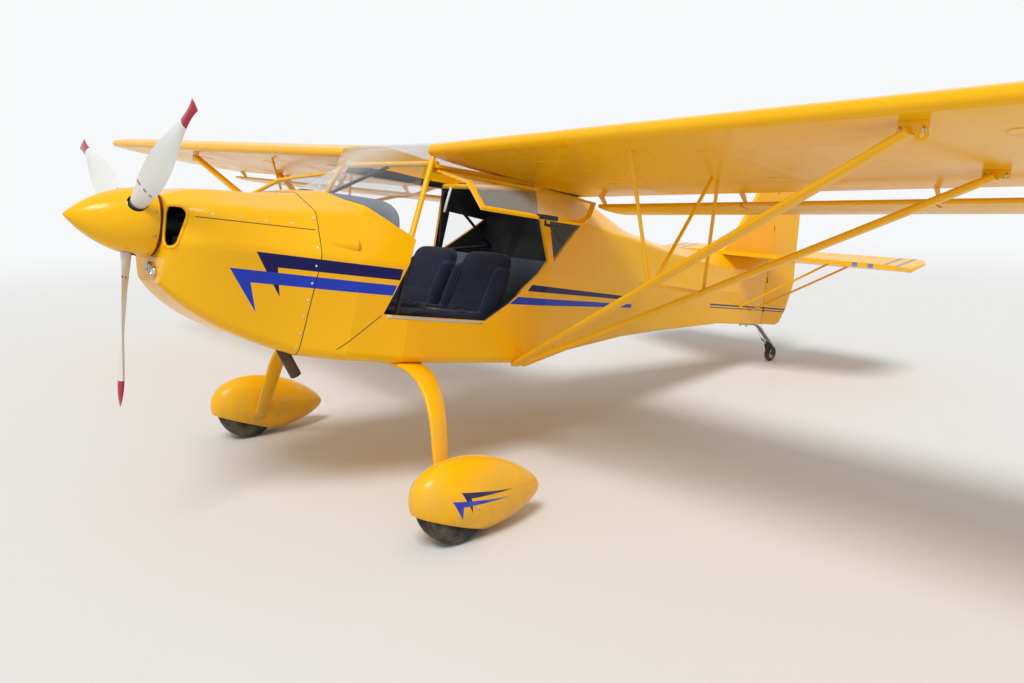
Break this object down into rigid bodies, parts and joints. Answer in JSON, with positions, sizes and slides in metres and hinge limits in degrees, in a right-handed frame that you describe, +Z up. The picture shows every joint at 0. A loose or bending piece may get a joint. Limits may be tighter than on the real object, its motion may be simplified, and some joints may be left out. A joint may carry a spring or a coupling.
{
  "type": "two-seat high-wing ultralight aircraft",
  "caption": "Strut-braced high-wing tailwheel aircraft with raised clear doors, hung flaperons, faired main wheels, propeller and steerable tailwheel.",
  "frame": {"origin": "on the ground under the middle of the aircraft's box", "axes": "+X to the aircraft's left along the span, +Y towards the tail, +Z up"},
  "size_m": [9.124, 5.6804, 1.8917],
  "materials": {
    "yellow_paint": "glossy yellow polyurethane over fabric and aluminium",
    "yellow_composite": "glossy yellow gel coat on glass fibre",
    "yellow_tube": "glossy yellow paint on steel tube",
    "clear_acrylic": "clear polished sheet",
    "blade_composite": "off-white painted composite, red tips",
    "dark_tube": "satin black paint on steel tube",
    "seat_fabric": "dark navy upholstery",
    "grey_trim": "matt grey grained trim",
    "tyre_rubber": "black rubber",
    "bare_aluminium": "machined aluminium",
    "spring_steel": "dull steel",
    "engine_cast": "cast aluminium, dull",
    "exhaust_steel": "heat-stained stainless steel"
  },
  "bodies": {
    "airframe": {"axles": "bare_aluminium", "boot_cowl": "yellow_paint", "cabin_frame": "dark_tube", "cabin_shell": "yellow_paint", "control_sticks": "dark_tube", "door_rails": "yellow_tube", "engine_block": "engine_cast", "engine_cowl": "yellow_composite", "exhaust_pipe": "exhaust_steel", "fin": "yellow_paint", "firewall": "bare_aluminium", "floor_pan": "grey_trim", "front_strut_left": "yellow_tube", "front_strut_right": "yellow_tube", "gear_leg_left": "yellow_composite", "gear_leg_right": "yellow_composite", "instrument_panel": "grey_trim", "jury_struts": "yellow_tube", "rear_bulkhead": "grey_trim", "rear_fuselage": "yellow_paint", "rear_strut_left": "yellow_tube", "rear_strut_right": "yellow_tube", "rear_windows": "clear_acrylic", "roof_fairing": "yellow_paint", "seat_base": "grey_trim", "seat_left": "seat_fabric", "seat_right": "seat_fabric", "skylight": "clear_acrylic", "stabilizer_left": "yellow_paint", "stabilizer_right": "yellow_paint", "stabilizer_struts": "yellow_tube", "strut_brackets": "yellow_tube", "tail_spring": "spring_steel", "wheel_pant_left": "yellow_composite", "wheel_pant_right": "yellow_composite", "windshield": "clear_acrylic", "wing_left": "yellow_paint", "wing_right": "yellow_paint"},
    "propeller": {"spinner": "yellow_composite", "propeller_blades": "blade_composite"},
    "wheel_left": {"rim_left": "bare_aluminium", "tyre_left": "tyre_rubber"},
    "wheel_right": {"rim_right": "bare_aluminium", "tyre_right": "tyre_rubber"},
    "tailwheel_fork": {"tailwheel_fork": "spring_steel"},
    "tailwheel": {"tailwheel_rim": "bare_aluminium", "tailwheel_tyre": "tyre_rubber"},
    "door_left": {"door_frame_left": "yellow_tube", "door_glass_left": "clear_acrylic"},
    "door_right": {"door_frame_right": "yellow_tube", "door_glass_right": "clear_acrylic"},
    "flaperon_left": {"flaperon_left": "yellow_paint"},
    "flaperon_right": {"flaperon_right": "yellow_paint"},
    "elevator": {"elevator": "yellow_paint"},
    "rudder": {"rudder": "yellow_paint"}
  },
  "joints": [
    {"name": "propeller_spin", "type": "hinge", "parent": "airframe", "child": "propeller", "pos_m": [0, -2.58533, 1.40544], "axis": [0, 0.988, -0.1542], "continuous": true},
    {"name": "wheel_left_spin", "type": "hinge", "parent": "airframe", "child": "wheel_left", "pos_m": [1.038, -1.65318, 0.18], "axis": [1, 0, 0], "continuous": true},
    {"name": "wheel_right_spin", "type": "hinge", "parent": "airframe", "child": "wheel_right", "pos_m": [-1.038, -1.65318, 0.18], "axis": [1, 0, 0], "continuous": true},
    {"name": "tailwheel_steer", "type": "hinge", "parent": "airframe", "child": "tailwheel_fork", "pos_m": [0, 2.45309, 0.16142], "axis": [0, 0, 1], "range_deg": [-30, 30]},
    {"name": "tailwheel_spin", "type": "hinge", "parent": "tailwheel_fork", "child": "tailwheel", "pos_m": [0, 2.4937, 0.065], "axis": [1, 0, 0], "continuous": true},
    {"name": "door_left_hinge", "type": "hinge", "parent": "airframe", "child": "door_left", "pos_m": [0.44, -0.92536, 1.5552], "axis": [0, 0.988, -0.1542], "range_deg": [0, 64]},
    {"name": "door_right_hinge", "type": "hinge", "parent": "airframe", "child": "door_right", "pos_m": [-0.44, -0.92536, 1.5552], "axis": [0, -0.988, 0.1542], "range_deg": [0, 64]},
    {"name": "flaperon_left_hinge", "type": "hinge", "parent": "airframe", "child": "flaperon_left", "pos_m": [0.5, -0.12237, 1.38425], "axis": [0.9993, 0.0059, 0.0378], "range_deg": [-25, 20]},
    {"name": "flaperon_right_hinge", "type": "hinge", "parent": "airframe", "child": "flaperon_right", "pos_m": [-0.5, -0.12237, 1.38425], "axis": [0.9993, -0.0059, -0.0378], "range_deg": [-25, 20]},
    {"name": "elevator_hinge", "type": "hinge", "parent": "airframe", "child": "elevator", "pos_m": [0, 2.36889, 0.86685], "axis": [1, 0, 0], "range_deg": [-41, 14]},
    {"name": "rudder_hinge", "type": "hinge", "parent": "airframe", "child": "rudder", "pos_m": [0, 2.41494, 0.92848], "axis": [0, 0.1542, 0.988], "range_deg": [-25, 25]}
  ]
}
